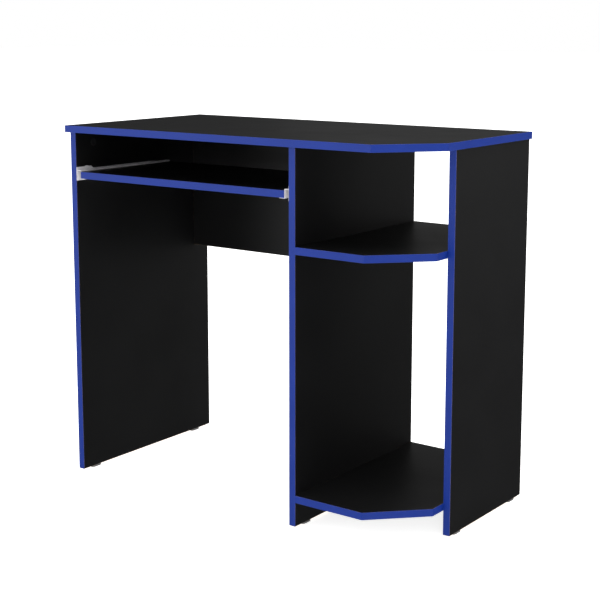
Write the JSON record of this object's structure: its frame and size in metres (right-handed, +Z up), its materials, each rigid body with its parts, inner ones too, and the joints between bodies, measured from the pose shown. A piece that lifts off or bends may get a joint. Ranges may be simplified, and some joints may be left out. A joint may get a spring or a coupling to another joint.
{
  "type": "computer desk",
  "caption": "Computer desk in black board with blue edge bands: a keyboard tray on roller slides, a modesty panel, and an open bay with shelves and clipped corners.",
  "frame": {"origin": "on the floor, under the middle of the desktop", "axes": "-Y towards the user, +X to the right along the desktop, +Z up"},
  "size_m": [0.9, 0.45, 0.785],
  "materials": {
    "black_laminate": "satin black melamine laminate on particle board, fine pore texture",
    "blue_edge_band": "satin royal blue plastic edge band",
    "black_edge_band": "satin black plastic edge band",
    "zinc_steel": "bright zinc-plated rolled steel sheet",
    "zinc_fasteners": "zinc-plated steel",
    "zinc_casting": "as-cast zinc alloy",
    "nylon": "natural white nylon",
    "grey_plastic": "moulded grey plastic",
    "black_plastic": "moulded black plastic",
    "beech": "fluted beech"
  },
  "bodies": {
    "desk_frame": {"desktop_panel": "black_laminate", "desktop_edge_band": "blue_edge_band", "left_side_panel": "black_laminate", "left_side_edge_band": "blue_edge_band", "centre_panel": "black_laminate", "centre_panel_edge_band": "blue_edge_band", "right_side_panel": "black_laminate", "right_side_edge_band": "blue_edge_band", "modesty_panel": "black_laminate", "modesty_edge_band": "black_edge_band", "middle_shelf": "black_laminate", "middle_shelf_edge_band": "blue_edge_band", "bottom_shelf": "black_laminate", "bottom_shelf_edge_band": "blue_edge_band", "left_panel_glides": "grey_plastic", "centre_panel_glides": "grey_plastic", "right_panel_glides": "grey_plastic", "glide_nails": "zinc_fasteners", "desktop_cam_locks": "zinc_casting", "modesty_cam_locks": "zinc_casting", "shelf_cam_locks": "zinc_casting", "desktop_cam_bolts": "zinc_fasteners", "modesty_cam_bolts": "zinc_fasteners", "shelf_cam_bolts": "zinc_fasteners", "desktop_dowels": "beech", "modesty_dowels": "beech", "shelf_dowels": "beech", "cam_caps": "black_plastic", "cabinet_rail_left": "zinc_steel", "cabinet_rail_right": "zinc_steel", "cabinet_rail_screws": "zinc_fasteners", "front_roller_axles": "zinc_fasteners"},
    "tray": {"keyboard_tray": "black_laminate", "tray_edge_band": "blue_edge_band", "tray_rail_left": "zinc_steel", "tray_rail_right": "zinc_steel", "tray_rail_screws": "zinc_fasteners", "rear_roller_axles": "zinc_fasteners"},
    "front_roller_left": {"front_roller_left": "nylon"},
    "front_roller_right": {"front_roller_right": "nylon"},
    "rear_roller_left": {"rear_roller_left": "nylon"},
    "rear_roller_right": {"rear_roller_right": "nylon"}
  },
  "joints": [
    {"name": "tray_slide", "type": "slide", "parent": "desk_frame", "child": "tray", "axis": [0, -1, 0], "range_m": [0, 0.21]},
    {"name": "front_roller_left_spin", "type": "hinge", "parent": "desk_frame", "child": "front_roller_left", "pos_m": [-0.4233, -0.183, 0.676], "axis": [1, 0, 0], "continuous": true},
    {"name": "front_roller_right_spin", "type": "hinge", "parent": "desk_frame", "child": "front_roller_right", "pos_m": [0.1478, -0.183, 0.676], "axis": [1, 0, 0], "continuous": true},
    {"name": "rear_roller_left_spin", "type": "hinge", "parent": "tray", "child": "rear_roller_left", "pos_m": [-0.4222, 0.0645, 0.6745], "axis": [1, 0, 0], "continuous": true},
    {"name": "rear_roller_right_spin", "type": "hinge", "parent": "tray", "child": "rear_roller_right", "pos_m": [0.1467, 0.0645, 0.6745], "axis": [1, 0, 0], "continuous": true}
  ],
  "couplings": [
    {"joint": "front_roller_left_spin", "follows": "tray_slide", "rad_per_m": 103.09},
    {"joint": "front_roller_right_spin", "follows": "tray_slide", "rad_per_m": 103.09},
    {"joint": "rear_roller_left_spin", "follows": "tray_slide", "rad_per_m": 108.7},
    {"joint": "rear_roller_right_spin", "follows": "tray_slide", "rad_per_m": 108.7}
  ]
}
